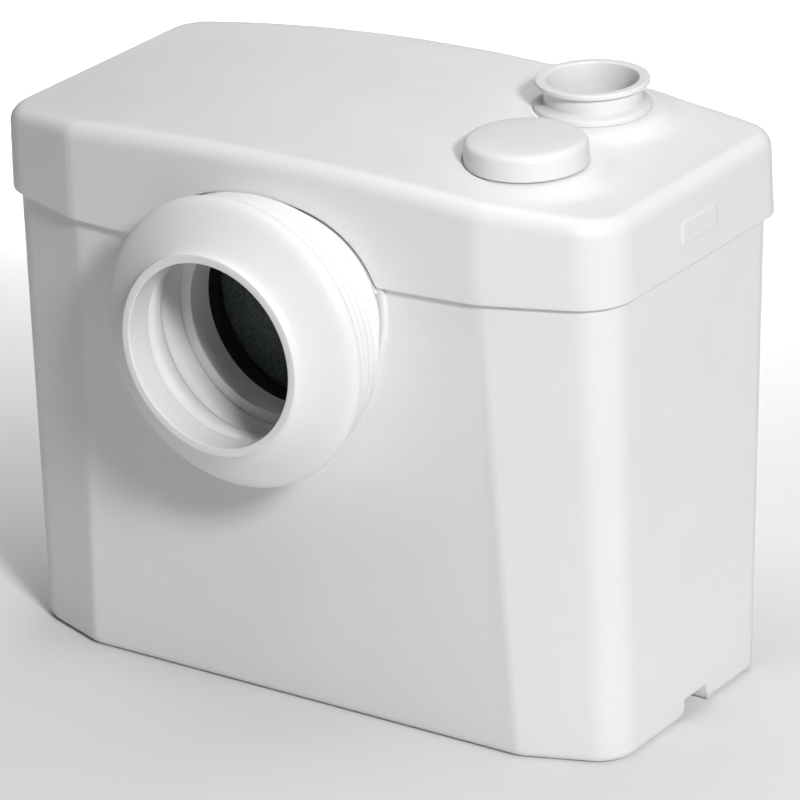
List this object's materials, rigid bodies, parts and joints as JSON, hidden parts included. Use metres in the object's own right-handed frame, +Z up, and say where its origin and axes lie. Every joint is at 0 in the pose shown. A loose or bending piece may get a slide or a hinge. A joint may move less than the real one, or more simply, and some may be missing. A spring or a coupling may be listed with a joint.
{
  "type": "macerator toilet pump",
  "caption": "Floor-standing macerator pump that takes waste from a toilet pan through a rubber inlet sleeve, grinds it and pumps it out through a stub on its lift-off lid.",
  "frame": {"origin": "middle of the base face, on the floor", "axes": "+X to the right seen from the inlet side, +Y back to the wall behind, +Z up; the inlet faces -Y"},
  "size_m": [0.3304, 0.2132, 0.2777],
  "materials": {
    "white_shell": "satin moulded",
    "white_rubber": "satin",
    "black_rubber": "matte",
    "grey_rubber": "matte",
    "black_plastic": "fine grain",
    "grey_plastic": "fine grain",
    "natural_plastic": "satin",
    "stainless": "brushed",
    "motor_metal": "as cast",
    "laminations": "oiled",
    "copper_wire": "varnished",
    "carbon_pad": "felted",
    "capacitor_case": "gloss",
    "red_plastic": "gloss",
    "lead_sheath": "satin"
  },
  "bodies": {
    "casing": {"tank": "white_shell", "lid_seal": "grey_rubber", "inlet_sleeve": "white_rubber", "flap_seat": "black_plastic", "flap_pin": "stainless", "motor_deck": "grey_plastic", "deck_isolators": "black_rubber", "deck_screws": "stainless", "inlet_chute": "grey_plastic", "grinder_basket": "stainless", "motor_can": "motor_metal", "motor_cover": "motor_metal", "motor_screws": "stainless", "stator_core": "laminations", "stator_windings": "copper_wire", "upper_bearing": "stainless", "lower_bearing": "stainless", "shaft_seal": "black_rubber", "pump_volute": "natural_plastic", "pump_cover": "natural_plastic", "pump_screws": "stainless", "riser_pipe": "black_rubber", "valve_body": "natural_plastic", "valve_pin": "stainless", "pressure_bell": "natural_plastic", "switch_base": "black_plastic", "diaphragm": "grey_rubber", "switch_cover": "black_plastic", "switch_screws": "stainless", "plunger_spring": "stainless", "micro_switch": "black_plastic", "capacitor": "capacitor_case", "capacitor_clip": "stainless", "terminal_box": "black_plastic", "terminal_lid": "black_plastic", "cable_gland": "black_plastic", "gland_nut": "black_plastic", "motor_lead": "lead_sheath", "switch_lead": "lead_sheath", "capacitor_lead": "lead_sheath"},
    "lid": {"lid": "white_shell", "discharge_stub": "white_shell", "discharge_seal": "black_rubber", "carbon_filter": "carbon_pad"},
    "vent_cap": {"vent_cap": "white_shell"},
    "inlet_flap": {"inlet_flap": "black_rubber"},
    "valve_flap": {"valve_flap": "black_rubber"},
    "rotor": {"rotor_core": "laminations", "motor_shaft": "stainless", "cutter_blade": "stainless", "blade_nut": "stainless", "pump_impeller": "black_plastic"},
    "plunger": {"switch_plunger": "natural_plastic"},
    "button": {"switch_button": "red_plastic"}
  },
  "joints": [
    {"name": "rotor_spin", "type": "hinge", "parent": "casing", "child": "rotor", "pos_m": [0.096, -0.022, 0.1], "axis": [0, 0, 1], "continuous": true},
    {"name": "inlet_flap_swing", "type": "hinge", "parent": "casing", "child": "inlet_flap", "pos_m": [0, -0.0575, 0.244], "axis": [1, 0, 0], "range_deg": [0, 65]},
    {"name": "valve_flap_swing", "type": "hinge", "parent": "casing", "child": "valve_flap", "pos_m": [0.0905, 0.0602, 0.2065], "axis": [-1, 0, 0], "range_deg": [0, 60]},
    {"name": "plunger_travel", "type": "slide", "parent": "casing", "child": "plunger", "axis": [0, 0, 1], "range_m": [0, 0.002], "stiffness_N_per_m": 300, "deforming": ["plunger_spring"]},
    {"name": "button_travel", "type": "slide", "parent": "casing", "child": "button", "axis": [0, 0, 1], "range_m": [0, 0.002]},
    {"name": "lid_lift", "type": "slide", "parent": "casing", "child": "lid", "axis": [0, 0, 1], "range_m": [0, 0.12]},
    {"name": "vent_cap_lift", "type": "slide", "parent": "lid", "child": "vent_cap", "axis": [0, 0, 1], "range_m": [0, 0.025]}
  ],
  "couplings": [
    {"joint": "button_travel", "follows": "plunger_travel", "ratio": 1}
  ]
}
